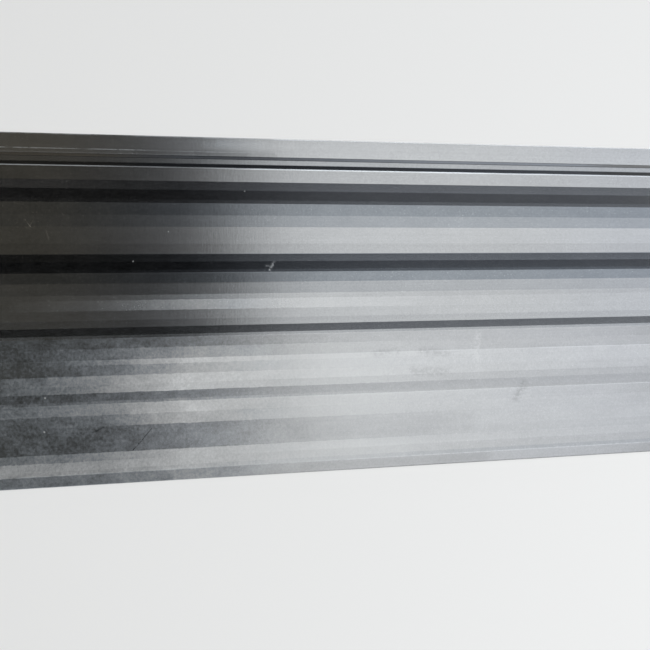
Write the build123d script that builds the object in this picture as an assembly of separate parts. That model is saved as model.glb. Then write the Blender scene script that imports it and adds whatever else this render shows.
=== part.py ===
from build123d import *
import os

# A steel siding panel, roll formed from one strip of pre-painted sheet.
# It lies face up. X runs along its length, +Y points to the lapped edge and
# Z = 0 is the plane that its back rests on. All sizes are in millimetres.

# Stock
panel_length = 3048.0
sheet = 0.6
inside_radius = 1.0

# Lapped edge, from its cut edge towards the face
flange_width = 19.0
step_width = 3.5
step_rise = 1.8
seat_width = 5.4
shoulder_width = 5.0
shoulder_rise = 4.8

# Face, from the shoulder to the free edge
top_flat_width = 13.5
top_wave_width = 82.0
wave_widths = (67.5, 62.0, 62.5, 65.5)
ridge_height = 5.0
last_slope_width = 11.7

# Free edge
return_lip_width = 5.0

# One wave is a row of narrow flats between two sharp ridges. Each pair is the
# far edge of a flat: its share of the way to the next ridge, and its share of
# the ridge's height over the lowest flat.
wave_shape = (
    (0.164, 0.44),
    (0.336, 0.10),
    (0.413, 0.00),
    (0.582, 0.00),
    (0.722, 0.06),
    (0.836, 0.39),
    (0.956, 0.86),
    (1.000, 1.00),
)
first_slope_share, first_slope_height = wave_shape[0]
top_wave_start = 4

overall_width = (
    flange_width + step_width + seat_width + shoulder_width
    + top_flat_width + top_wave_width * (1 - wave_shape[top_wave_start][0])
    + sum(wave_widths) + last_slope_width
)


def add_wave(points, start, floor_level, width, first=0):
    """Adds the bends of one wave that starts at a ridge, or part way along it."""
    for share, height in wave_shape[first:]:
        points.append((start - share * width, floor_level + height * ridge_height))
    return start - width


def back_line():
    """The bends of the sheet's back surface, from the lapped edge to the lip."""
    seat_level = step_rise
    face_level = seat_level + shoulder_rise

    across = overall_width / 2
    points = [(across, 0)]
    across -= flange_width
    points.append((across, 0))
    across -= step_width
    points.append((across, seat_level))
    across -= seat_width
    points.append((across, seat_level))
    across -= shoulder_width
    points.append((across, face_level))

    # The face starts part way along a wave, on its wide low flat.
    across -= top_flat_width
    across += wave_shape[top_wave_start][0] * top_wave_width
    across = add_wave(points, across, face_level, top_wave_width, top_wave_start)
    for width in wave_widths:
        across = add_wave(points, across, face_level, width)

    # The free edge slopes down from the last ridge, turns down and turns in.
    slope = (1 - first_slope_height) / (first_slope_share * wave_widths[-1])
    edge_level = face_level + ridge_height * (1 - slope * last_slope_width)
    across += sheet - last_slope_width
    points.append((across, edge_level))
    points.append((across, sheet))
    points.append((across + return_lip_width - sheet, sheet))
    return [Vector(*point) for point in points]


def bend_radii(points):
    """A radius for each bend of the back line, so that every bend is as tight inside."""
    radii = []
    for before, corner, after in zip(points, points[1:], points[2:]):
        turn = (corner - before).cross(after - corner).Z
        radii.append(inside_radius if turn > 0 else inside_radius + sheet)
    return radii


def make_panel():
    """The bent strip, drawn by its back line and as thick as the sheet."""
    points = back_line()
    with BuildPart() as panel:
        with BuildSketch(Plane.YZ):
            with BuildLine():
                path = FilletPolyline(*points, radius=bend_radii(points))
                offset(path, amount=sheet, side=Side.RIGHT)
            make_face()
        extrude(amount=panel_length / 2, both=True)
    return panel.part


os.makedirs("parts", exist_ok=True)
export_step(make_panel(), "parts/siding_panel.step")
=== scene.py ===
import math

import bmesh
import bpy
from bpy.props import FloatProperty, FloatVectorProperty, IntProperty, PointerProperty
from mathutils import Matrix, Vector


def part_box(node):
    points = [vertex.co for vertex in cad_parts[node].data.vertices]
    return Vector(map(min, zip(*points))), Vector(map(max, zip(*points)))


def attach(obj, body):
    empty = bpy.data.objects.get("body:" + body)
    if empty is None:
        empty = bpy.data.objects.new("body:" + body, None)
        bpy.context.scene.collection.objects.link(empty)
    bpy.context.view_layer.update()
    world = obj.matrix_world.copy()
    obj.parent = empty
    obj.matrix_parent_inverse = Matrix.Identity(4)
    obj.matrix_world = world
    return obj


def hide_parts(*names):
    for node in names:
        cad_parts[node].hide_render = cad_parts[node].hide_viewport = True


bl_info = {
    "name": "Siding Panel",
    "version": (1, 0, 0),
    "blender": (4, 5, 0),
    "location": "3D View > Sidebar > Siding",
    "description": "Models and paints a roll-formed steel siding panel and sets its stage",
    "category": "Mesh",
}

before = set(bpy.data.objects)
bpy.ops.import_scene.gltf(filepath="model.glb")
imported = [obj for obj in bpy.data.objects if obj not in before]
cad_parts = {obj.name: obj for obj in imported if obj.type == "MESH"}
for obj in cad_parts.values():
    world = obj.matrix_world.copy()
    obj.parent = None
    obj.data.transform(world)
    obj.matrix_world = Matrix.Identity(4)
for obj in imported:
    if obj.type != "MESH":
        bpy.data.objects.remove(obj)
SOLID = "siding_panel"
SOLID_LOW, SOLID_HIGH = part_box(SOLID)
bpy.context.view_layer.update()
MM = 0.001

# An edge this near to a bend lies on it, one that reaches further along the panel
# than the second length runs along it, and points nearer than the third are one.
BEND_REACH = 1e-6
SHORTEST_RUN = 0.1 * MM
SAME_POINT = 1e-7

# The sockets of a Mix node that mixes colours.
MIX_SHARE, MIX_FIRST, MIX_SECOND, MIX_RESULT = 0, 6, 7, 2

# One wave of the face is a row of narrow flats between two sharp ridges. Each
# pair is the far edge of a flat: its share of the way to the next ridge, and
# its share of the ridge's height over the lowest flat.
WAVE_SHAPE = (
    (0.164, 0.44),
    (0.336, 0.10),
    (0.413, 0.00),
    (0.582, 0.00),
    (0.722, 0.06),
    (0.836, 0.39),
    (0.956, 0.86),
    (1.000, 1.00),
)
TOP_WAVE_START = 4

# How much light the clean coating throws back, flat by flat from the lapped edge down.
# The coating is metallic, near 0.2; its differences from flat to flat are painted
# reflections of the surroundings, and the shoulder's 0.060 is painted shade in its crease.
# The first row is the lapped edge, the top flat and its slopes, each other row is a wave,
# and the last number is the slope at the free edge.
SHEEN_AND_REFLECTION_OF_FLATS = (
    0.224, 0.195, 0.178, 0.060, 0.203, 0.263, 0.216, 0.216,
    0.119, 0.155, 0.217, 0.217, 0.198, 0.157, 0.157, 0.132,
    0.122, 0.175, 0.195, 0.208, 0.208, 0.208, 0.196, 0.182,
    0.210, 0.210, 0.243, 0.243, 0.223, 0.213, 0.230, 0.197,
    0.230, 0.230, 0.230, 0.230, 0.220, 0.220, 0.197, 0.170,
    0.220,
)

# The share of each flat that dust covers, in the same order: where the panel was wiped,
# and where the dust lies thick. The pale dust also paints bright reflections: its shares
# are set flat by flat, highest on the middle waves, to brighten flats as a reflection would.
THIN_DUST_AND_REFLECTION = (
    0.11, 0.04, 0.08, 0.01, 0.03, 0.08, 0.03, 0.04,
    0.07, 0.05, 0.02, 0.02, 0.02, 0.03, 0.03, 0.03,
    0.05, 0.06, 0.06, 0.05, 0.05, 0.07, 0.05, 0.12,
    0.05, 0.06, 0.01, 0.01, 0.23, 0.23, 0.10, 0.21,
    0.22, 0.10, 0.11, 0.08, 0.08, 0.27, 0.49, 0.45,
    0.17,
)
THICK_DUST_AND_REFLECTION = (
    0.09, 0.03, 0.05, 0.01, 0.02, 0.04, 0.02, 0.03,
    0.03, 0.03, 0.04, 0.04, 0.01, 0.01, 0.01, 0.02,
    0.03, 0.03, 0.17, 0.38, 0.06, 0.05, 0.05, 0.08,
    0.17, 0.43, 0.80, 0.53, 0.80, 0.80, 0.22, 0.38,
    0.70, 0.56, 0.22, 0.22, 0.22, 0.66, 0.70, 0.62,
    0.34,
)

# Along the panel: the place, how much of the dust is left there, and how far it has
# gone from thin to thick. The rise to thick dust lies where the reflected light brightens,
# so there the dust also paints that brightening.
DUST_AND_REFLECTION_ALONG = (
    (-1.524, 0.60, 0.35),
    (-1.200, 0.30, 0.10),
    (-0.900, 0.80, 0.45),
    (-0.620, 0.60, 0.20),
    (-0.420, 1.00, 0.00),
    (-0.297, 1.00, 0.00),
    (-0.271, 1.00, 0.11),
    (-0.220, 1.00, 0.26),
    (-0.172, 1.00, 0.70),
    (-0.125, 1.00, 1.00),
    (-0.060, 0.86, 0.94),
    (-0.007, 0.64, 0.85),
    (0.110, 0.21, 0.50),
    (0.220, 0.12, 0.30),
    (0.500, 0.12, 0.10),
    (0.800, 0.60, 0.40),
    (1.100, 0.20, 0.10),
    (1.524, 0.50, 0.30),
)

# The wear round the middle of the panel's length is whole to the first distance
# from the middle, and has faded out at the second.
WORN_TO = 0.4
FADED_AT = 1.2

# Parts of the face. Each begins to show at its first place and is whole at its
# second, along the panel or across it.
DULL_ALONG = (-0.10, -0.28)
BRIGHT_ALONG = (-0.16, -0.02)
STALE_ALONG = (0.06, -0.16)
STALE_ACROSS = (-0.026, -0.034)
UPPER_ACROSS = (-0.02, 0.05)
LOWER_ACROSS = (0.0, -0.06)

# Past both ends of the panel, for a line that runs all along it.
PAST_END = 9.0

# How much three kinds of grain change the coating's sheen.
GRAIN_OF_SHEEN = (("Patch", 0.16), ("Fine", 0.30), ("Lines", 0.10))

# Marks on the face, in millimetres along and across the panel: from, to, how wide and how
# strong. The light ones are scratches, chalky rubs and crumbs of dry dirt, the dark ones are
# wiped or greasy. The first four soft light ones are painted highlights along the flange,
# and the soft dark ones are painted reflections, darker along the inner flange and two
# lower flats. The soft ones are whole, the others are broken.
LIGHT_MARKS = (
    (-278.7, 84.5, -273.6, 77.0, 0.6, 0.30),
    (-276.3, 76.0, -271.8, 82.6, 0.5, 0.22),
    (-260.5, 74.2, -258.0, 64.8, 1.2, 0.12),
    (-275.0, -73.8, -235.0, -73.9, 0.7, 0.45),
    (-46.3, 42.8, -50.5, 34.9, 2.4, 0.45),
    (-54.3, 38.9, -48.4, 38.8, 2.0, 0.30),
    (-269.3, -138.4, -211.0, -136.2, 0.6, 0.16),
    (-290.0, -149.5, -161.0, -149.5, 14.0, 0.13),
    (165.0, -35.0, 165.0, -80.0, 8.0, 0.13),
    (-312.0, -55.0, -312.0, -150.0, 15.0, 0.06),
)
# The first four are painted highlights along the flange, the others small light spots.
SOFT_MARKS_AND_FLANGE_HIGHLIGHTS = (
    (-98.0, 163.0, -55.0, 162.5, 10.0, 0.27),
    (-112.0, 162.0, -25.0, 162.5, 10.0, 0.18),
    (-128.0, 162.0, 10.0, 162.5, 10.0, 0.09),
    (-168.0, 164.0, -115.0, 163.5, 7.0, 0.12),
    (-73.4, 113.4, -73.6, 113.0, 1.0, 0.50),
    (-181.4, 44.5, -181.4, 44.2, 1.1, 0.60),
    (-263.7, -84.1, -263.6, -84.3, 1.2, 0.90),
    (-266.2, -116.5, -266.0, -116.7, 1.2, 0.90),
    (-148.2, 73.5, -148.2, 73.4, 0.9, 0.50),
)
DARK_MARKS = (
    (-168.2, -118.0, -176.8, -128.2, 0.9, 0.55),
    (-176.8, -128.2, -186.2, -138.3, 0.8, 0.70),
    (-222.4, -119.1, -212.3, -114.9, 1.6, 0.35),
    (-218.0, -127.0, -205.0, -131.0, 6.0, 0.16),
    (214.0, -88.0, 207.0, -103.0, 7.0, 0.22),
    (104.0, -50.0, 132.0, -54.0, 6.0, 0.18),
    (96.0, -70.0, 132.0, -74.0, 8.0, 0.16),
    (56.0, -52.0, 78.0, -50.0, 6.0, 0.18),
)
# Painted reflections: darker bands on the inner flange and along two lower flats, where less light is
# reflected.
PAINTED_DARK_REFLECTIONS = (
    (-120.0, 152.0, -72.0, 151.5, 7.0, 0.28),
    (-178.0, 152.5, -45.0, 151.5, 7.0, 0.16),
    (-30.0, -126.6, 150.0, -126.6, 22.0, 0.10),
    (-20.0, -162.5, 170.0, -162.5, 11.0, 0.15),
)

# The light board over the panel: half its length, and its two sides across.
BOARD_HALF = 2.4
BOARD_NEAR = -2.4
BOARD_FAR = 3.0

# The board's glow in pairs of place and level. Its front and back part have one
# list along the panel and one across, and a dim glow lies under both.
FRONT_ALONG = (
    (-BOARD_HALF, 0.0), (-0.62, 0.0), (-0.45, 0.04), (-0.30, 0.125), (-0.13, 0.47), (0.05, 0.80),
    (0.20, 0.92), (0.50, 0.98), (0.90, 1.00), (1.60, 0.97), (BOARD_HALF, 0.95),
)
FRONT_ACROSS = ((BOARD_NEAR, 1.0), (0.88, 1.0), (0.95, 0.0), (BOARD_FAR, 0.0))
BACK_ALONG = (
    (-BOARD_HALF, 0.0), (-0.62, 0.0), (-0.45, 0.03), (-0.30, 0.09), (-0.13, 0.27), (0.05, 0.50),
    (0.20, 0.66), (0.50, 0.88), (0.90, 0.98), (1.60, 1.05), (BOARD_HALF, 1.05),
)
BACK_ACROSS = (
    (BOARD_NEAR, 0.0), (0.88, 0.0), (0.95, 0.22), (1.24, 0.21), (1.38, 0.10), (1.60, 0.12), (2.0, 0.10),
    (BOARD_FAR, 0.05),
)
DIM_ACROSS = (
    (BOARD_NEAR, 0.115), (-0.50, 0.115), (-0.20, 0.142), (0.78, 0.140), (0.93, 0.012), (1.15, 0.012),
    (1.25, 0.004), (BOARD_FAR, 0.004),
)
# Beyond the panel's free edge the front part's level is read this much further along.
FRONT_SHIFT = -0.09

# The glow of the wall at the board's far side, in the same way. The gap is what it
# lacks to the board's height, half above and half below.
WALL_ALONG = (
    (-BOARD_HALF, 0.15), (-1.2, 0.17), (-0.8, 0.19), (-0.5, 0.25), (0.0, 0.46), (0.65, 0.95),
    (1.4, 1.3), (BOARD_HALF, 1.5),
)
WALL_UP = ((0.0, 0.15), (0.45, 0.2), (0.68, 1.0))
WALL_GAP = 0.1

# Parts of the board and of the wall that differ in colour or place, written as the
# parts of the face are.
FREE_EDGE_ACROSS = (-0.2, -0.6)
BACK_PART_ACROSS = (0.88, 0.95)
BRIGHT_END_ALONG = (0.9, 1.8)
DARK_END_ALONG = (-0.45, -1.0)
WALL_END_ALONG = (-0.70, -1.10)

# Balances of red, green and blue in the light.
GLOW_OF_BOARD = (0.955, 0.978, 1.0)
GLOW_OF_BRIGHT_END = (0.940, 0.975, 1.035)
GLOW_OF_BACK = (0.89, 0.965, 1.09)
GLOW_OF_DARK_END = (1.05, 0.985, 0.81)
GLOW_OF_WALL = (0.90, 0.970, 1.09)
GLOW_OF_WALL_END = (1.10, 0.985, 0.78)
SKY = (0.97, 0.985, 1.0)

# The floor lies just under the panel. One share of its colour takes light, and the
# others glow for the camera and for reflections.
FLOOR_SIZE = 60
FLOOR_DROP = 0.2 * MM
FLOOR_LIT = 0.40
FLOOR_SEEN = 0.60
FLOOR_REFLECTED = 0.32

# The level of the room behind, for the camera and for reflections.
ROOM_SEEN = 0.85


class SizesOfPanel(bpy.types.PropertyGroup):
    """The rolled section and how finely it is meshed"""

    sheet: FloatProperty(
        name="Sheet", description="Thickness of the steel", default=0.6 * MM, unit="LENGTH", precision=5
    )
    inside_radius: FloatProperty(
        name="Inside radius", description="Radius inside every bend", default=1.0 * MM, unit="LENGTH",
        precision=5,
    )
    flange_width: FloatProperty(
        name="Flange", description="Width of the flat fastening flange", default=19.0 * MM, unit="LENGTH"
    )
    step_width: FloatProperty(
        name="Step width", description="Width of the small step beside the flange", default=3.5 * MM,
        unit="LENGTH",
    )
    step_rise: FloatProperty(
        name="Step rise", description="Rise of the small step", default=1.8 * MM, unit="LENGTH"
    )
    seat_width: FloatProperty(
        name="Seat", description="Width of the strip that the next panel laps on", default=5.4 * MM,
        unit="LENGTH",
    )
    shoulder_width: FloatProperty(
        name="Shoulder width", description="Width of the slope up to the face", default=5.0 * MM,
        unit="LENGTH",
    )
    shoulder_rise: FloatProperty(
        name="Shoulder rise", description="Rise of the slope up to the face", default=4.8 * MM, unit="LENGTH"
    )
    top_flat_width: FloatProperty(
        name="Top flat", description="Width of the flat below the shoulder", default=13.5 * MM, unit="LENGTH"
    )
    top_wave_width: FloatProperty(
        name="Top wave", description="Width that the cut-off top wave would have", default=82.0 * MM,
        unit="LENGTH",
    )
    wave_widths: FloatVectorProperty(
        name="Waves", description="Distances from ridge to ridge", size=4, unit="LENGTH",
        default=(67.5 * MM, 62.0 * MM, 62.5 * MM, 65.5 * MM),
    )
    ridge_height: FloatProperty(
        name="Ridge height", description="Height of a ridge over its hollow", default=5.0 * MM, unit="LENGTH"
    )
    last_slope_width: FloatProperty(
        name="Last slope", description="Width of the slope at the free edge", default=11.7 * MM, unit="LENGTH"
    )
    return_lip_width: FloatProperty(
        name="Return lip", description="Width of the lip turned in under the free edge", default=5.0 * MM,
        unit="LENGTH",
    )
    lengths: IntProperty(name="Lengths", description="Divisions along the panel", default=203, min=2)
    bend_step: FloatProperty(
        name="Bend step", description="Largest turn from one strip of a bend to the next",
        default=math.radians(9), subtype="ANGLE",
    )
    waviness: FloatProperty(
        name="Waviness", description="How far the thin face sinks between its ridges", default=0.25 * MM,
        unit="LENGTH", precision=5,
    )
    lump_size: FloatProperty(
        name="Lump size", description="Size of the waviness's lumps", default=0.11, unit="LENGTH"
    )
    edge_round: FloatProperty(
        name="Edge round", description="Rounding of the sheared edges", default=0.12 * MM, unit="LENGTH",
        precision=5,
    )


class ColoursOfPanel(bpy.types.PropertyGroup):
    """The finishes of the sheet"""

    paint: FloatVectorProperty(
        name="Paint", description="Tint of the metallic anthracite coil coating", subtype="COLOR",
        default=(0.985, 0.995, 1.0),
    )
    dull_paint: FloatVectorProperty(
        name="Dull paint", description="Tint of the coating where the rolls left it dull", subtype="COLOR",
        default=(0.915, 0.988, 1.065), max=2,
    )
    paint_roughness: FloatProperty(
        name="Paint roughness", description="Roughness of clean paint", default=0.16, min=0, max=1
    )
    dust_roughness: FloatProperty(
        name="Dust roughness", description="What full dust adds to the roughness", default=0.20, min=0, max=1
    )
    haze_roughness: FloatProperty(
        name="Haze roughness", description="What the hazy lower waves add to the roughness", default=0.118,
        min=0, max=1,
    )
    back: FloatVectorProperty(
        name="Back", description="Pale grey primer on the back", subtype="COLOR", default=(0.36, 0.37, 0.36)
    )
    # The zinc colour also paints highlights along the shoulder's fold and beside the flange's fold.
    zinc: FloatVectorProperty(
        name="Zinc", description="Bare coated steel at cut and rubbed edges", subtype="COLOR",
        default=(0.62, 0.64, 0.66),
    )
    dust: FloatVectorProperty(
        name="Dust", description="Dry dust and chalky scuffs", subtype="COLOR", default=(0.668, 0.668, 0.656)
    )
    thin_dust: FloatVectorProperty(
        name="Thin dust", description="Dust so thin that it looks blue on the dark paint", subtype="COLOR",
        default=(0.595, 0.660, 0.725),
    )
    clay_dust: FloatVectorProperty(
        name="Clay dust", description="Brown dust on the upper waves at one end", subtype="COLOR",
        default=(0.780, 0.660, 0.460),
    )


class SettingsOfStage(bpy.types.PropertyGroup):
    """The floor, the light and the camera"""

    floor: FloatVectorProperty(
        name="Floor", description="Pale floor", subtype="COLOR", default=(0.82, 0.82, 0.81)
    )
    light_height: FloatProperty(
        name="Light height", description="Height of the light board over the floor", default=1.6,
        unit="LENGTH",
    )
    light_level: FloatProperty(
        name="Light level", description="Glow of the light board at its brightest", default=2.5
    )
    fill_level: FloatProperty(
        name="Fill level", description="Strength of the even light from all round", default=0.35
    )
    camera_place: FloatVectorProperty(
        name="Camera", description="Where the camera is", subtype="TRANSLATION", unit="LENGTH",
        default=(-0.0590, -0.0212, 0.4991),
    )
    camera_lean: FloatProperty(
        name="Lean", description="Turn of the downward view along the panel", default=math.radians(-7.286),
        subtype="ANGLE",
    )
    camera_roll: FloatProperty(
        name="Roll", description="Turn of the picture about the view", default=math.radians(-1.268),
        subtype="ANGLE",
    )
    camera_lens: FloatProperty(name="Lens", description="Focal length in millimetres", default=27.03)
    camera_sensor: FloatProperty(name="Sensor", description="Sensor width in millimetres", default=36.0)
    camera_start: FloatProperty(
        name="Nearest", description="Nearest distance that the camera shows", default=0.01, unit="LENGTH"
    )


def bends_of(sizes):
    """The bends of the sheet's back surface, across and up, from the lapped edge to the lip."""
    across = SOLID_HIGH.y
    points = [(across, 0.0)]
    across -= sizes.flange_width
    points.append((across, 0.0))
    across -= sizes.step_width
    points.append((across, sizes.step_rise))
    across -= sizes.seat_width
    points.append((across, sizes.step_rise))
    across -= sizes.shoulder_width
    face_level = sizes.step_rise + sizes.shoulder_rise
    points.append((across, face_level))
    across -= sizes.top_flat_width
    across += WAVE_SHAPE[TOP_WAVE_START][0] * sizes.top_wave_width
    shape = WAVE_SHAPE[TOP_WAVE_START:]
    for width in (sizes.top_wave_width, *sizes.wave_widths):
        points += [(across - share * width, face_level + up * sizes.ridge_height) for share, up in shape]
        across -= width
        shape = WAVE_SHAPE
    first_share, first_up = WAVE_SHAPE[0]
    slope = (1 - first_up) / (first_share * sizes.wave_widths[-1])
    edge_level = face_level + sizes.ridge_height * (1 - slope * sizes.last_slope_width)
    across += sizes.sheet - sizes.last_slope_width
    points.append((across, edge_level))
    points.append((across, sizes.sheet))
    points.append((across + sizes.return_lip_width - sizes.sheet, sizes.sheet))
    return [Vector(point) for point in points]


def shoulder_of(sizes):
    """Where the face starts across the panel, at the top of the shoulder."""
    return SOLID_HIGH.y - sizes.flange_width - sizes.step_width - sizes.seat_width - sizes.shoulder_width


def ridges_of(sizes):
    """Where the ridges are across the panel, from the lapped edge down."""
    first = SOLID_LOW.y + sizes.last_slope_width + sum(sizes.wave_widths)
    places = [first]
    for width in sizes.wave_widths:
        places.append(places[-1] - width)
    return places


def pick(obj, wanted):
    """Selects, of the mesh being edited, only the edges that wanted() accepts."""
    bpy.ops.mesh.select_mode(type="EDGE")
    bpy.ops.mesh.select_all(action="DESELECT")
    mesh = bmesh.from_edit_mesh(obj.data)
    for edge in mesh.edges:
        if wanted(edge):
            edge.select_set(True)
    bmesh.update_edit_mesh(obj.data)


def runs_at(point):
    """Accepts the edges that run along the panel at one place of its section."""
    def at_point(vertex):
        return abs(vertex.co.y - point.x) < BEND_REACH and abs(vertex.co.z - point.y) < BEND_REACH

    def wanted(edge):
        return all(at_point(vertex) for vertex in edge.verts)
    return wanted


def runs_lengthwise(edge):
    """Accepts the edges that run along the panel."""
    first, last = (vertex.co for vertex in edge.verts)
    return abs(first.x - last.x) > SHORTEST_RUN


def finish_with(obj, kind, **settings):
    """Adds a modifier to the active object and applies it."""
    bpy.ops.object.modifier_add(type=kind)
    modifier = obj.modifiers[-1]
    for name, value in settings.items():
        setattr(modifier, name, value)
    bpy.ops.object.modifier_apply(modifier=modifier.name)


def add_plane(name, centre, size, tilt=0.0):
    """A plane at its size and place, in a mesh of its own whose object sits at the origin."""
    bpy.ops.object.select_all(action="DESELECT")
    bpy.ops.mesh.primitive_plane_add(size=1, location=centre, rotation=(tilt, 0, 0))
    obj = bpy.context.object
    obj.name = name
    obj.data.name = name
    obj.scale = (*size, 1)
    bpy.ops.object.transform_apply(location=True, rotation=True, scale=True)
    return obj


def put(tree, kind, sockets=None, **settings):
    """Adds a node. A socket takes a value, or the output of another node."""
    node = tree.nodes.new(kind)
    for name, value in settings.items():
        setattr(node, name, value)
    for name, value in (sockets or {}).items():
        if isinstance(value, bpy.types.NodeSocket):
            tree.links.new(value, node.inputs[name])
        else:
            node.inputs[name].default_value = value
    return node


def maths(tree, operation, *values, clamp=False):
    """The output of a Math node."""
    node = put(tree, "ShaderNodeMath", dict(enumerate(values)), operation=operation, use_clamp=clamp)
    return node.outputs[0]


def invert(tree, mask):
    """What a mask leaves of 1."""
    return maths(tree, "SUBTRACT", 1.0, mask)


def times(tree, *values):
    """The product of several values."""
    product = values[0]
    for value in values[1:]:
        product = maths(tree, "MULTIPLY", product, value)
    return product


def strongest(tree, masks):
    """The highest of several masks, place by place."""
    highest = masks[0]
    for mask in masks[1:]:
        highest = maths(tree, "MAXIMUM", highest, mask)
    return highest


def vary(tree, base, texture, amount):
    """Moves a value down or up by as much as half an amount, as a texture goes from 0 to 1."""
    return maths(tree, "MULTIPLY_ADD", maths(tree, "SUBTRACT", texture, 0.5), amount, base)


def ramp(tree, value, low, high, smooth=True):
    """Goes from 0 to 1 while the value goes from low to high."""
    sockets = {"Value": value, "From Min": low, "From Max": high}
    kind = "SMOOTHSTEP" if smooth else "LINEAR"
    return put(tree, "ShaderNodeMapRange", sockets, interpolation_type=kind).outputs["Result"]


def blend(tree, share, first, second):
    """Goes from the first colour to the second. A colour may be a node's output."""
    node = put(tree, "ShaderNodeMix", {MIX_SHARE: share}, data_type="RGBA")
    for socket, colour in ((MIX_FIRST, first), (MIX_SECOND, second)):
        if isinstance(colour, bpy.types.NodeSocket):
            tree.links.new(colour, node.inputs[socket])
        else:
            node.inputs[socket].default_value = (*colour, 1.0)
    return node.outputs[MIX_RESULT]


def place_on_panel(tree):
    """The place in metres: whole, along the panel and across it."""
    here = put(tree, "ShaderNodeTexCoord").outputs["Object"]
    parts = put(tree, "ShaderNodeSeparateXYZ", {0: here}).outputs
    return here, parts["X"], parts["Y"]


def near_middle(tree, along):
    """Goes from 1 round the middle of the panel's length to 0 near its ends."""
    return ramp(tree, maths(tree, "ABSOLUTE", along), FADED_AT, WORN_TO)


def noise(tree, here, scale, shift=(0, 0, 0), detail=2.0, roughness=0.5):
    """Noise with its own number of lumps per metre along, across and up."""
    sockets = {"Vector": here, "Scale": scale, "Location": shift}
    stretched = put(tree, "ShaderNodeMapping", sockets).outputs[0]
    sockets = {"Vector": stretched, "Scale": 1.0, "Detail": detail, "Roughness": roughness}
    return put(tree, "ShaderNodeTexNoise", sockets).outputs[0]


def levels_across(sizes, levels):
    """Places and levels across the panel, from the free edge up, for one level a flat.

    Neighbours of one level are joined, because a colour ramp holds no more than 32 stops.
    """
    stops = []
    for far_edge, level in zip(bends_of(sizes)[1:], levels):
        if stops and stops[-1][1] == level:
            stops.pop()
        stops.append((far_edge.x, level))
    return stops[::-1]


def bands(tree, value, stops, steps=False):
    """Follows a list of places and levels, in steps or in straight lines between them."""
    low, high = stops[0][0], stops[-1][0]
    share = ramp(tree, value, low, high, smooth=False)
    node = put(tree, "ShaderNodeValToRGB", {0: share})
    node.color_ramp.interpolation = "CONSTANT" if steps else "LINEAR"
    elements = node.color_ramp.elements
    elements.remove(elements[-1])
    for number, (place, level) in enumerate(stops):
        element = elements[0] if number == 0 else elements.new((place - low) / (high - low))
        element.position = (place - low) / (high - low)
        element.color = (level, level, level, 1.0)
    return node.outputs[0]


def new_group(name, inputs, outputs):
    """An empty shader node group with number sockets, and its two ends."""
    tree = bpy.data.node_groups.new(name, "ShaderNodeTree")
    for socket, default in inputs.items():
        made = tree.interface.new_socket(name=socket, in_out="INPUT", socket_type="NodeSocketFloat")
        made.default_value = default
    for socket in outputs:
        tree.interface.new_socket(name=socket, in_out="OUTPUT", socket_type="NodeSocketFloat")
    return tree, tree.nodes.new("NodeGroupInput").outputs, tree.nodes.new("NodeGroupOutput").inputs


def use_group(tree, group, **sockets):
    """Places a node group; its sockets are named with underscores for spaces."""
    node = put(tree, "ShaderNodeGroup", node_tree=group)
    for name, value in sockets.items():
        socket = node.inputs[name.replace("_", " ")]
        if isinstance(value, bpy.types.NodeSocket):
            tree.links.new(value, socket)
        else:
            socket.default_value = value
    return node.outputs


def make_grain_group():
    """Fine streaks across the sheet, left by the coater and by handling, and its speckle."""
    tree, given, result = new_group(
        "Coating Grain", {"Streak": 1.0, "Mottle": 1.0}, ["Height", "Patch", "Fine", "Lines"]
    )
    here, _, _ = place_on_panel(tree)
    streak = noise(tree, here, (520.0, 95.0, 95.0), detail=3.0, roughness=0.6)
    mottle = noise(tree, here, (210.0, 170.0, 170.0), shift=(3.0, 1.0, 0.0))
    patch = noise(tree, here, (16.0, 38.0, 38.0), shift=(7.0, 2.0, 0.0), detail=4.0, roughness=0.6)
    fine = noise(tree, here, (850.0, 600.0, 600.0), shift=(2.0, 9.0, 0.0), roughness=0.7)
    lines = noise(tree, here, (2.5, 620.0, 620.0), shift=(4.0, 3.0, 0.0))
    streak = times(tree, streak, given["Streak"])
    mottle = times(tree, mottle, given["Mottle"])
    height = maths(tree, "ADD", streak, mottle)
    for name, value in (("Height", height), ("Patch", patch), ("Fine", fine), ("Lines", lines)):
        tree.links.new(value, result[name])
    return tree


def make_fold_group():
    """A thin bright line along a fold or an edge, broken along its length, for rubbed wear
    and for painted highlights on folds.
    """
    inputs = {
        "Across": 0.0, "Width": 1.0 * MM, "Amount": 1.0, "Breaks": 60.0, "Seed": 0.0, "Start": -PAST_END,
        "End": PAST_END,
    }
    tree, given, result = new_group("Bright Fold Line", inputs, ["Mask"])
    here, along, across = place_on_panel(tree)
    away = maths(tree, "ABSOLUTE", maths(tree, "SUBTRACT", across, given["Across"]))
    core = times(tree, given["Width"], 0.3)
    line = invert(tree, ramp(tree, away, core, given["Width"]))
    scale = put(tree, "ShaderNodeCombineXYZ", {0: given["Breaks"], 1: 8.0, 2: 8.0}).outputs[0]
    shift = put(tree, "ShaderNodeCombineXYZ", {0: given["Seed"], 1: given["Seed"], 2: 0.0}).outputs[0]
    broken = ramp(tree, noise(tree, here, scale, shift, detail=3.0, roughness=0.7), 0.25, 0.6)
    fade = 30 * MM
    after = ramp(tree, maths(tree, "SUBTRACT", along, given["Start"]), -fade, fade)
    before = ramp(tree, maths(tree, "SUBTRACT", given["End"], along), -fade, fade)
    line = times(tree, line, times(tree, after, before), broken)
    tree.links.new(maths(tree, "MULTIPLY", line, given["Amount"], clamp=True), result["Mask"])
    return tree


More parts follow.
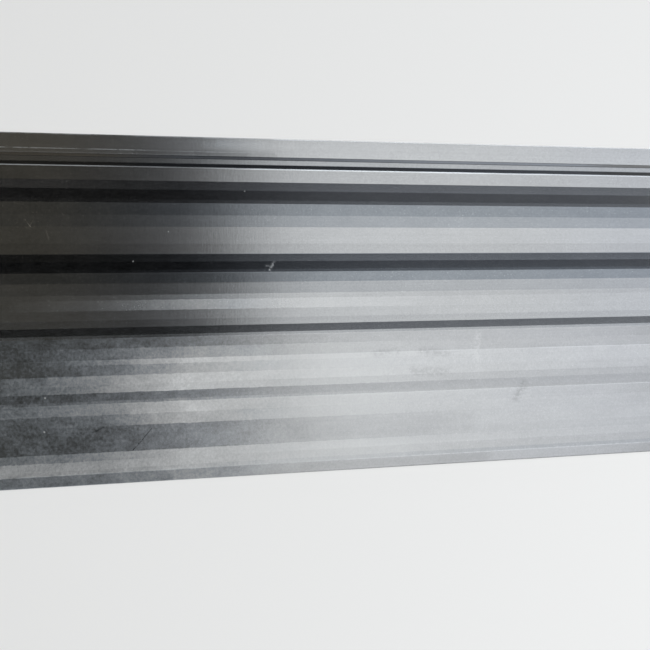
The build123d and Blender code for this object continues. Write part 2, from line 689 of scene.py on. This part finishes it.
def make_mark_group():
    """One straight mark with soft sides, from one place on the face to another."""
    inputs = {
        "From Along": 0.0, "From Across": 0.0, "To Along": 10 * MM, "To Across": 0.0, "Width": 1.0 * MM,
        "Amount": 1.0, "Broken": 0.0,
    }
    tree, given, result = new_group("Straight Mark", inputs, ["Mask"])
    here, along, across = place_on_panel(tree)
    ragged = noise(tree, here, (420.0, 420.0, 420.0), detail=3.0)
    along = vary(tree, along, ragged, times(tree, given["Width"], 1.2))
    place = put(tree, "ShaderNodeCombineXYZ", {0: along, 1: across}).outputs[0]
    start = put(tree, "ShaderNodeCombineXYZ", {0: given["From Along"], 1: given["From Across"]}).outputs[0]
    end = put(tree, "ShaderNodeCombineXYZ", {0: given["To Along"], 1: given["To Across"]}).outputs[0]
    whole = put(tree, "ShaderNodeVectorMath", {0: end, 1: start}, operation="SUBTRACT").outputs[0]
    part = put(tree, "ShaderNodeVectorMath", {0: place, 1: start}, operation="SUBTRACT").outputs[0]
    reach = put(tree, "ShaderNodeVectorMath", {0: part, 1: whole}, operation="DOT_PRODUCT").outputs["Value"]
    span = put(tree, "ShaderNodeVectorMath", {0: whole, 1: whole}, operation="DOT_PRODUCT").outputs["Value"]
    share = maths(tree, "DIVIDE", reach, span, clamp=True)
    near = put(tree, "ShaderNodeVectorMath", {0: whole, "Scale": share}, operation="SCALE").outputs[0]
    away = put(tree, "ShaderNodeVectorMath", {0: part, 1: near}, operation="DISTANCE").outputs["Value"]
    mask = invert(tree, ramp(tree, away, 0.0, given["Width"]))
    gaps = invert(tree, ramp(tree, noise(tree, here, (330.0, 330.0, 330.0), detail=3.0), 0.40, 0.56))
    kept = invert(tree, times(tree, gaps, given["Broken"]))
    mask = times(tree, mask, kept)
    tree.links.new(maths(tree, "MULTIPLY", mask, given["Amount"], clamp=True), result["Mask"])
    return tree


def place_marks(tree, group, marks, broken=0.0):
    """The strongest of a list of marks, which are broken up where broken is 1."""
    masks = [
        use_group(
            tree, group, From_Along=from_along * MM, From_Across=from_across * MM, To_Along=to_along * MM,
            To_Across=to_across * MM, Width=width * MM, Amount=amount, Broken=broken,
        )["Mask"]
        for from_along, from_across, to_along, to_across, width, amount in marks
    ]
    return strongest(tree, masks)


def make_dust_and_reflection_group(sizes):
    """Dust that lies in patches and streaks, flat by flat; on the face it also paints bright reflections."""
    tree, given, result = new_group("Dust And Reflection Film", {"Amount": 1.0, "Patchiness": 1.0}, ["Mask"])
    here, along, across = place_on_panel(tree)
    across = vary(tree, across, noise(tree, here, (120.0, 120.0, 120.0)), 1.4 * MM)
    cover = lay_dust_and_reflection(tree, sizes, along, across)
    film = times(tree, cover, make_patchy(tree, here, given["Patchiness"]))
    film = add_haze(tree, film, here, along, across)
    film = add_crumbs(tree, film, here)
    film = add_specks(tree, film, here)
    tree.links.new(maths(tree, "MULTIPLY", film, given["Amount"], clamp=True), result["Mask"])
    return tree


def lay_dust_and_reflection(tree, sizes, along, across):
    """The share that dust covers, from the tables for the flats and for the length, which
    also paint bright reflections.
    """
    thin = bands(tree, across, levels_across(sizes, THIN_DUST_AND_REFLECTION), steps=True)
    thick = bands(tree, across, levels_across(sizes, THICK_DUST_AND_REFLECTION), steps=True)
    left = bands(tree, along, [(place, amount) for place, amount, _ in DUST_AND_REFLECTION_ALONG])
    share = bands(tree, along, [(place, thickness) for place, _, thickness in DUST_AND_REFLECTION_ALONG])
    cover = maths(tree, "MULTIPLY_ADD", maths(tree, "SUBTRACT", thick, thin), share, thin)
    return times(tree, cover, left)


def make_patchy(tree, here, patchiness):
    """A factor round 1 with the dust's clouds, streaks and grain."""
    cloud = noise(tree, here, (9.0, 16.0, 16.0), detail=6.0, roughness=0.62)
    streak = noise(tree, here, (260.0, 40.0, 40.0), shift=(1.0, 5.0, 0.0), detail=3.0, roughness=0.6)
    grain = noise(tree, here, (700.0, 520.0, 520.0), shift=(5.0, 1.0, 0.0), roughness=0.7)
    textures = ((cloud, 0.9), (streak, 0.22), (grain, 0.36))
    uneven = times(tree, *(vary(tree, 1.0, texture, amount) for texture, amount in textures))
    return maths(tree, "MULTIPLY_ADD", maths(tree, "SUBTRACT", uneven, 1.0), patchiness, 1.0)


def add_haze(tree, film, here, along, across):
    """Adds a blotchy haze to the dust, stronger on the lower waves and most on their dark part."""
    haze = noise(tree, here, (420.0, 360.0, 360.0), shift=(6.0, 4.0, 0.0), detail=3.0, roughness=0.75)
    blotch = noise(tree, here, (55.0, 85.0, 85.0), shift=(8.0, 3.0, 0.0), detail=3.0, roughness=0.6)
    haze = vary(tree, vary(tree, 0.0, haze, 0.15), blotch, 0.08)
    strength = maths(tree, "MULTIPLY_ADD", ramp(tree, across, *LOWER_ACROSS), 0.6, 0.7)
    stale = times(tree, ramp(tree, along, *STALE_ALONG), ramp(tree, across, *STALE_ACROSS))
    stale = times(tree, stale, near_middle(tree, along))
    strength = maths(tree, "MULTIPLY_ADD", stale, 3.2, strength)
    return maths(tree, "MULTIPLY_ADD", haze, strength, film, clamp=True)


def scatter(tree, here, cells_a_metre, **settings):
    """Scatters cells: the distance from each one's centre, and a number from 0 to 1 for each."""
    sockets = {"Vector": here, "Scale": cells_a_metre}
    cells = put(tree, "ShaderNodeTexVoronoi", sockets, **settings).outputs
    chance = put(tree, "ShaderNodeSeparateColor", {0: cells["Color"]}).outputs[0]
    return cells["Distance"], chance


def add_crumbs(tree, film, here):
    """Adds single crumbs of dirt to the dust, one in every fourteen cells or so."""
    away, chance = scatter(tree, here, 46.0)
    kept = maths(tree, "GREATER_THAN", chance, 0.93)
    crumbs = times(tree, invert(tree, ramp(tree, away, 0.012, 0.034)), kept)
    return maths(tree, "MULTIPLY_ADD", crumbs, 0.26, film)


def add_specks(tree, film, here):
    """Adds specks to the dust, one a cell: points in two cells of three, larger in the others."""
    away, chance = scatter(tree, here, 270.0, voronoi_dimensions="2D")
    size = maths(tree, "MULTIPLY_ADD", chance, 0.40, -0.26, clamp=True)
    specks = invert(tree, ramp(tree, away, 0.02, maths(tree, "ADD", size, 0.021)))
    return maths(tree, "MULTIPLY_ADD", specks, 0.20, film)


def new_material(name, colour):
    """A node material, its node tree and its bare Principled shader."""
    material = bpy.data.materials.new(name)
    material.use_nodes = True
    material.diffuse_color = (*colour, 1.0)
    return material, material.node_tree, material.node_tree.nodes["Principled BSDF"]


def finish_surface(tree, shader, colour, rough, height, strength, depth):
    """Gives a shader its colour, its roughness and its bump."""
    tree.links.new(colour, shader.inputs["Base Color"])
    tree.links.new(rough, shader.inputs["Roughness"])
    bump = put(tree, "ShaderNodeBump", {"Strength": strength, "Distance": depth, "Height": height})
    tree.links.new(bump.outputs[0], shader.inputs["Normal"])


def folds_of(sizes):
    """Bright lines along folds and edges: rubbed wear on the sheared edges, the lower ridges,
    a low fold and the flange, and painted highlights along the shoulder's fold and just beside
    the flange's fold. Each is across, width, amount, breaks a metre, and from and to along.
    """
    flange_fold = SOLID_HIGH.y - sizes.flange_width
    shoulder = shoulder_of(sizes)
    ridges = ridges_of(sizes)
    low_fold = ridges[2] - WAVE_SHAPE[1][0] * sizes.wave_widths[2]
    return (
        (SOLID_HIGH.y, 1.5 * MM, 0.60, 20.0, -PAST_END, 0.0),
        (SOLID_HIGH.y, 0.9 * MM, 0.50, 30.0, 0.0, PAST_END),
        (SOLID_LOW.y, 0.8 * MM, 0.70, 40.0, -PAST_END, PAST_END),
        # The shoulder's two lines are painted highlights along its fold.
        (shoulder + 0.1 * MM, 0.8 * MM, 0.90, 5.0, -PAST_END, -0.07),
        (shoulder - 0.2 * MM, 1.0 * MM, 0.80, 5.0, -0.09, PAST_END),
        (ridges[4], 0.8 * MM, 0.34, 130.0, -PAST_END, -0.10),
        (ridges[4], 0.7 * MM, 0.16, 130.0, -0.10, PAST_END),
        (ridges[3], 0.6 * MM, 0.08, 110.0, -PAST_END, PAST_END),
        (low_fold, 0.6 * MM, 0.10, 14.0, -PAST_END, PAST_END),
        # This line is a painted highlight along the bend beside the flange's fold.
        (flange_fold + 0.7 * MM, 0.7 * MM, 0.16, 20.0, -PAST_END, -0.10),
        (flange_fold + 4.6 * MM, 0.7 * MM, 0.45, 90.0, -PAST_END, -0.16),
        (flange_fold + 4.2 * MM, 0.6 * MM, 0.25, 60.0, -0.16, -0.08),
    )


def bright_fold_lines(tree, group, folds):
    """The strongest of the bright fold lines, worn ones and painted highlights, each broken in its own
    places.
    """
    masks = [
        use_group(
            tree, group, Across=across, Width=width, Amount=amount, Breaks=breaks, Seed=number * 4.7,
            Start=start, End=end,
        )["Mask"]
        for number, (across, width, amount, breaks, start, end) in enumerate(folds)
    ]
    return strongest(tree, masks)


def make_paint(colours, sizes, groups):
    """The painted face: glossy dark coating under dust, with rubbed folds. Its sheen from
    flat to flat, its dust, its soft marks and some fold lines also paint reflections,
    highlights and shade.
    """
    plain_sheen = 0.2
    material, tree, shader = new_material("painted_steel", tuple(plain_sheen * c for c in colours.paint))
    grain = use_group(tree, groups["grain"], Streak=0.7, Mottle=0.5)
    # This film is dust, which also paints bright reflections on the middle waves.
    dust = use_group(tree, groups["dust"], Amount=1.0, Patchiness=1.0)["Mask"]
    # Rubbed wear and painted highlights along folds, drawn in zinc.
    wear_and_highlight = bright_fold_lines(tree, groups["fold"], folds_of(sizes))
    mark = groups["mark"]
    light = place_marks(tree, mark, LIGHT_MARKS, broken=0.7)
    # Painted highlights along the flange are among these soft marks.
    light = strongest(tree, (light, place_marks(tree, mark, SOFT_MARKS_AND_FLANGE_HIGHLIGHTS)))
    dark = place_marks(tree, mark, DARK_MARKS, broken=0.85)
    # The soft dark marks are painted reflections, darker than the light alone leaves them.
    dark = strongest(tree, (dark, place_marks(tree, mark, PAINTED_DARK_REFLECTIONS)))
    # Dark marks, smudges and painted reflections alike, lower the sheen and the dust.
    clean = invert(tree, dark)
    dust = strongest(tree, (times(tree, dust, clean), light))
    _, along, across = place_on_panel(tree)
    near = near_middle(tree, along)
    third_ridge = ridges_of(sizes)[2]
    fade = 0.2 * MM
    hazy = times(tree, ramp(tree, across, third_ridge + fade, third_ridge - fade), near)
    end = times(tree, ramp(tree, along, *DULL_ALONG), near)
    coat = colour_coat(tree, colours, sizes, grain, clean, across, times(tree, hazy, end))
    powder = colour_dust(tree, colours, dust, end, along, across)
    colour = blend(tree, wear_and_highlight, blend(tree, dust, coat, powder), tuple(colours.zinc))
    rough = maths(tree, "MULTIPLY_ADD", dust, colours.dust_roughness, colours.paint_roughness)
    rough = maths(tree, "MULTIPLY_ADD", hazy, colours.haze_roughness, rough)
    rough = vary(tree, rough, grain["Patch"], 0.02)
    finish_surface(tree, shader, colour, rough, grain["Height"], strength=0.35, depth=0.12 * MM)
    bare = maths(tree, "MULTIPLY_ADD", wear_and_highlight, 0.5, dust)
    tree.links.new(maths(tree, "SUBTRACT", 1.0, bare, clamp=True), shader.inputs["Metallic"])
    shader.inputs["Specular IOR Level"].default_value = 0.25
    return material


def colour_coat(tree, colours, sizes, grain, clean, across, hazy_end):
    """The coating's colour: the sheen of its flat, changed by the grain, in one of its two tints.
    The sheen's differences from flat to flat are painted reflections, the shoulder's low
    sheen is painted shade, and the dark marks lower it.
    """
    sheen_and_reflection = bands(tree, across, levels_across(sizes, SHEEN_AND_REFLECTION_OF_FLATS), steps=True)
    tint = blend(tree, ramp(tree, sheen_and_reflection, 0.12, 0.20), tuple(colours.dull_paint), tuple(colours.paint))
    tint = blend(tree, hazy_end, tint, tuple(colours.dull_paint))
    uneven = times(tree, *(vary(tree, 1.0, grain[name], amount) for name, amount in GRAIN_OF_SHEEN))
    sockets = {MIX_SHARE: 1.0, MIX_FIRST: tint, MIX_SECOND: times(tree, sheen_and_reflection, uneven, clean)}
    return put(tree, "ShaderNodeMix", sockets, data_type="RGBA", blend_type="MULTIPLY").outputs[MIX_RESULT]


def colour_dust(tree, colours, dust, end, along, across):
    """The dust's colour: blue or brown where it is thin at the dark end, and plain elsewhere."""
    clay = times(tree, ramp(tree, across, *UPPER_ACROSS), end)
    powder = blend(tree, clay, tuple(colours.thin_dust), tuple(colours.clay_dust))
    plain = strongest(tree, (ramp(tree, dust, 0.12, 0.50), ramp(tree, along, *BRIGHT_ALONG)))
    return blend(tree, plain, powder, tuple(colours.dust))


def make_back_coat(colours, groups):
    """The back: a thin pale primer with dust on it."""
    material, tree, shader = new_material("back_coat", colours.back)
    grain = use_group(tree, groups["grain"], Streak=0.4, Mottle=0.8)
    dust = use_group(tree, groups["dust"], Amount=0.5, Patchiness=0.8)["Mask"]
    darker, lighter = (tuple(shade * c for c in colours.back) for shade in (0.92, 1.06))
    primer = blend(tree, ramp(tree, grain["Patch"], 0.3, 0.7), darker, lighter)
    colour = blend(tree, dust, primer, tuple(colours.dust))
    rough = vary(tree, 0.47, grain["Patch"], 0.14)
    finish_surface(tree, shader, colour, rough, grain["Height"], strength=0.3, depth=0.1 * MM)
    return material


def make_bare_edge(colours, groups):
    """The sheared edges: bare steel and zinc with shear marks."""
    material, tree, shader = new_material("cut_edge", colours.zinc)
    grain = use_group(tree, groups["grain"], Streak=1.0, Mottle=0.6)
    darker = tuple(0.7 * c for c in colours.zinc)
    worn = blend(tree, ramp(tree, grain["Height"], 0.5, 1.1), darker, tuple(colours.zinc))
    rough = vary(tree, 0.38, grain["Patch"], 0.2)
    finish_surface(tree, shader, worn, rough, grain["Height"], strength=0.5, depth=0.1 * MM)
    shader.inputs["Metallic"].default_value = 1.0
    return material


class SIDING_OT_panel(bpy.types.Operator):
    """Rolls the panel from one flat strip, bend by bend, and coats it"""

    bl_idname = "siding.panel"
    bl_label = "Panel"
    bl_options = {"REGISTER", "UNDO"}

    def execute(self, context):
        sizes = context.scene.siding_sizes
        colours = context.scene.siding_colours
        panel = self.roll(sizes)
        self.make_wavy(panel, sizes)
        self.give_thickness(panel, sizes)
        groups = {
            "grain": make_grain_group(), "fold": make_fold_group(), "mark": make_mark_group(),
            "dust": make_dust_and_reflection_group(sizes),
        }
        finishes = (
            make_paint(colours, sizes, groups), make_back_coat(colours, groups),
            make_bare_edge(colours, groups),
        )
        for slot, finish in zip(panel.material_slots, finishes):
            slot.material = finish
        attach(panel, "root")
        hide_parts(SOLID)
        return {"FINISHED"}

    def roll(self, sizes):
        """Extrudes the flange strip from bend to bend, rounds the bends and divides the length."""
        points = bends_of(sizes)
        length = SOLID_HIGH.x - SOLID_LOW.x
        middle = (points[0] + points[1]) / 2
        panel = add_plane("painted_panel", (0, middle.x, middle.y), (length, sizes.flange_width))
        bpy.ops.object.mode_set(mode="EDIT")
        pick(panel, runs_at(points[1]))
        for before, after in zip(points[1:], points[2:]):
            move = after - before
            bpy.ops.mesh.extrude_region_move(TRANSFORM_OT_translate={"value": (0, move.x, move.y)})
        for before, corner, after in zip(points, points[1:], points[2:]):
            turn = (corner - before).angle_signed(after - corner)
            radius = sizes.inside_radius + (sizes.sheet if turn > 0 else 0)
            pick(panel, runs_at(corner))
            bpy.ops.mesh.bevel(
                offset_type="OFFSET", offset=radius * math.tan(abs(turn) / 2), affect="EDGES",
                segments=max(2, math.ceil(abs(turn) / sizes.bend_step)), profile=0.5, clamp_overlap=False,
            )
        pick(panel, runs_lengthwise)
        bpy.ops.mesh.subdivide(number_cuts=sizes.lengths - 1)
        bpy.ops.mesh.select_all(action="SELECT")
        bpy.ops.mesh.remove_doubles(threshold=SAME_POINT)
        bpy.ops.object.mode_set(mode="OBJECT")
        return panel

    def make_wavy(self, panel, sizes):
        """Lets the thin face sink a little in places, as rolled sheet does."""
        face_start = shoulder_of(sizes)
        clear_of_bends = 3
        face_end = SOLID_LOW.y + clear_of_bends * (sizes.inside_radius + sizes.sheet)
        group = panel.vertex_groups.new(name="face")
        for vertex in panel.data.vertices:
            if face_end < vertex.co.y < face_start and vertex.co.z > sizes.step_rise:
                group.add([vertex.index], 1.0, "REPLACE")
        texture = bpy.data.textures.new("rolled_waviness", "CLOUDS")
        texture.noise_scale = sizes.lump_size
        texture.noise_depth = 2
        finish_with(
            panel, "DISPLACE", texture=texture, texture_coords="LOCAL", direction="Z", mid_level=1.0,
            strength=sizes.waviness, vertex_group="face",
        )
        panel.vertex_groups.clear()

    def give_thickness(self, panel, sizes):
        """Gives the strip its thickness towards the face and rounds its sheared edges."""
        for name in ("face", "back", "edge"):
            panel.data.materials.append(bpy.data.materials.new(name))
        if sum(polygon.normal.z for polygon in panel.data.polygons) < 0:
            bpy.ops.object.mode_set(mode="EDIT")
            bpy.ops.mesh.select_all(action="SELECT")
            bpy.ops.mesh.flip_normals()
            bpy.ops.object.mode_set(mode="OBJECT")
        finish_with(
            panel, "SOLIDIFY", thickness=sizes.sheet, offset=1.0, use_even_offset=True, use_rim=True,
            material_offset=1, material_offset_rim=2,
        )
        finish_with(
            panel, "BEVEL", width=sizes.edge_round, segments=2, limit_method="ANGLE",
            angle_limit=math.radians(60), material=2,
        )
        bpy.ops.object.shade_smooth_by_angle(angle=math.radians(40))
        finish_with(panel, "WEIGHTED_NORMAL", mode="FACE_AREA", weight=80, keep_sharp=True)


class SIDING_OT_stage(bpy.types.Operator):
    """Lays the floor, hangs the light and sets the camera"""

    bl_idname = "siding.stage"
    bl_label = "Stage"
    bl_options = {"REGISTER", "UNDO"}

    def execute(self, context):
        settings = context.scene.siding_stage
        self.lay_floor(settings)
        self.hang_light(settings)
        self.raise_wall(settings)
        self.light_room(context.scene, settings)
        self.set_camera(context.scene, settings)
        context.scene.view_settings.view_transform = "Standard"
        return {"FINISHED"}

    def lay_floor(self, settings):
        """A large pale floor that keeps the panel's shadow."""
        floor = add_plane("floor", (0, 0, -FLOOR_DROP), (FLOOR_SIZE, FLOOR_SIZE))
        material, tree, shader = new_material("floor", settings.floor)
        tree.nodes.remove(shader)
        lit = tuple(FLOOR_LIT * c for c in settings.floor)
        lit = put(tree, "ShaderNodeBsdfDiffuse", {"Color": (*lit, 1.0)}).outputs[0]
        path = put(tree, "ShaderNodeLightPath").outputs
        seen = times(tree, path["Is Camera Ray"], FLOOR_SEEN)
        level = maths(tree, "MULTIPLY_ADD", path["Is Glossy Ray"], FLOOR_REFLECTED, seen)
        glow = put(tree, "ShaderNodeEmission", {"Color": (*settings.floor, 1.0), "Strength": level})
        both = put(tree, "ShaderNodeAddShader", {0: lit, 1: glow.outputs[0]}).outputs[0]
        tree.links.new(both, tree.nodes["Material Output"].inputs["Surface"])
        floor.data.materials.append(material)

    def hang_light(self, settings):
        """One wide soft light over the panel that fades to one end and to the back."""
        middle = (0, (BOARD_NEAR + BOARD_FAR) / 2, settings.light_height)
        board = add_plane("light_board", middle, (2 * BOARD_HALF, BOARD_FAR - BOARD_NEAR))
        tree, glow = self.make_glow(board)
        _, along, across = place_on_panel(tree)
        beyond_edge = ramp(tree, across, *FREE_EDGE_ACROSS)
        shifted = maths(tree, "MULTIPLY_ADD", beyond_edge, FRONT_SHIFT, along)
        level = settings.light_level
        front = times(tree, bands(tree, shifted, FRONT_ALONG), bands(tree, across, FRONT_ACROSS), level)
        back = times(tree, bands(tree, along, BACK_ALONG), bands(tree, across, BACK_ACROSS), level)
        both = maths(tree, "ADD", front, back)
        strength = maths(tree, "ADD", both, bands(tree, across, DIM_ACROSS))
        tint = blend(tree, ramp(tree, along, *BRIGHT_END_ALONG), GLOW_OF_BOARD, GLOW_OF_BRIGHT_END)
        tint = blend(tree, ramp(tree, across, *BACK_PART_ACROSS), tint, GLOW_OF_BACK)
        tint = blend(tree, ramp(tree, along, *DARK_END_ALONG), tint, GLOW_OF_DARK_END)
        tree.links.new(tint, glow.inputs["Color"])
        tree.links.new(strength, glow.inputs["Strength"])

    def raise_wall(self, settings):
        """A dim wall at the far side of the light board, brighter at its top and at one end."""
        height = settings.light_height
        middle = (0, BOARD_FAR, height / 2)
        wall = add_plane("dim_wall", middle, (2 * BOARD_HALF, height - WALL_GAP), math.radians(90))
        tree, glow = self.make_glow(wall)
        here, along, _ = place_on_panel(tree)
        up = put(tree, "ShaderNodeSeparateXYZ", {0: here}).outputs["Z"]
        rise = bands(tree, up, (*WALL_UP, (height, 1.0)))
        tint = blend(tree, ramp(tree, along, *WALL_END_ALONG), GLOW_OF_WALL, GLOW_OF_WALL_END)
        tree.links.new(tint, glow.inputs["Color"])
        tree.links.new(times(tree, bands(tree, along, WALL_ALONG), rise), glow.inputs["Strength"])

    def make_glow(self, board):
        """Gives a board a glow that the camera doesn't see, and returns its node tree and node."""
        material, tree, shader = new_material(board.name, (0.5, 0.5, 0.5))
        tree.nodes.remove(shader)
        glow = put(tree, "ShaderNodeEmission")
        tree.links.new(glow.outputs[0], tree.nodes["Material Output"].inputs["Surface"])
        board.data.materials.append(material)
        board.visible_camera = False
        return tree, glow

    def light_room(self, scene, settings):
        """An even fill, with a pale background where the camera or a reflection looks."""
        world = bpy.data.worlds.new("room")
        scene.world = world
        world.use_nodes = True
        tree = world.node_tree
        tree.nodes.clear()
        path = put(tree, "ShaderNodeLightPath").outputs
        seen = maths(tree, "MAXIMUM", path["Is Camera Ray"], path["Is Glossy Ray"])
        seen = maths(tree, "MAXIMUM", seen, path["Is Transmission Ray"])
        level = maths(tree, "MULTIPLY_ADD", seen, ROOM_SEEN - settings.fill_level, settings.fill_level)
        sky = put(tree, "ShaderNodeBackground", {"Color": (*SKY, 1.0), "Strength": level})
        output = put(tree, "ShaderNodeOutputWorld", {"Surface": sky.outputs[0]})
        output.is_active_output = True

    def set_camera(self, scene, settings):
        """The camera of the photograph, which looks down on the panel."""
        bpy.ops.object.camera_add(location=settings.camera_place)
        camera = bpy.context.object
        camera.name = "camera"
        lean = Matrix.Rotation(settings.camera_lean, 4, "Y")
        roll = Matrix.Rotation(settings.camera_roll, 4, "Z")
        camera.matrix_world = Matrix.Translation(settings.camera_place) @ lean @ roll
        camera.data.sensor_width = settings.camera_sensor
        camera.data.lens = settings.camera_lens
        camera.data.clip_start = settings.camera_start
        scene.camera = camera


class SIDING_PT_sidebar(bpy.types.Panel):
    """Lists the operators and the sizes and colours that they use"""

    bl_idname = "SIDING_PT_sidebar"
    bl_label = "Siding Panel"
    bl_space_type = "VIEW_3D"
    bl_region_type = "UI"
    bl_category = "Siding"

    def draw(self, context):
        column = self.layout.column()
        column.operator(SIDING_OT_panel.bl_idname)
        column.operator(SIDING_OT_stage.bl_idname)
        for group in (context.scene.siding_sizes, context.scene.siding_colours, context.scene.siding_stage):
            for name in group.__annotations__:
                column.prop(group, name)


CLASSES = (
    SizesOfPanel, ColoursOfPanel, SettingsOfStage, SIDING_OT_panel, SIDING_OT_stage, SIDING_PT_sidebar,
)


def register():
    for cls in CLASSES:
        bpy.utils.register_class(cls)
    bpy.types.Scene.siding_sizes = PointerProperty(type=SizesOfPanel)
    bpy.types.Scene.siding_colours = PointerProperty(type=ColoursOfPanel)
    bpy.types.Scene.siding_stage = PointerProperty(type=SettingsOfStage)


def unregister():
    del bpy.types.Scene.siding_stage
    del bpy.types.Scene.siding_colours
    del bpy.types.Scene.siding_sizes
    for cls in reversed(CLASSES):
        bpy.utils.unregister_class(cls)


def main():
    register()
    bpy.ops.siding.stage()
    bpy.ops.siding.panel()


if __name__ == "__main__":
    main()
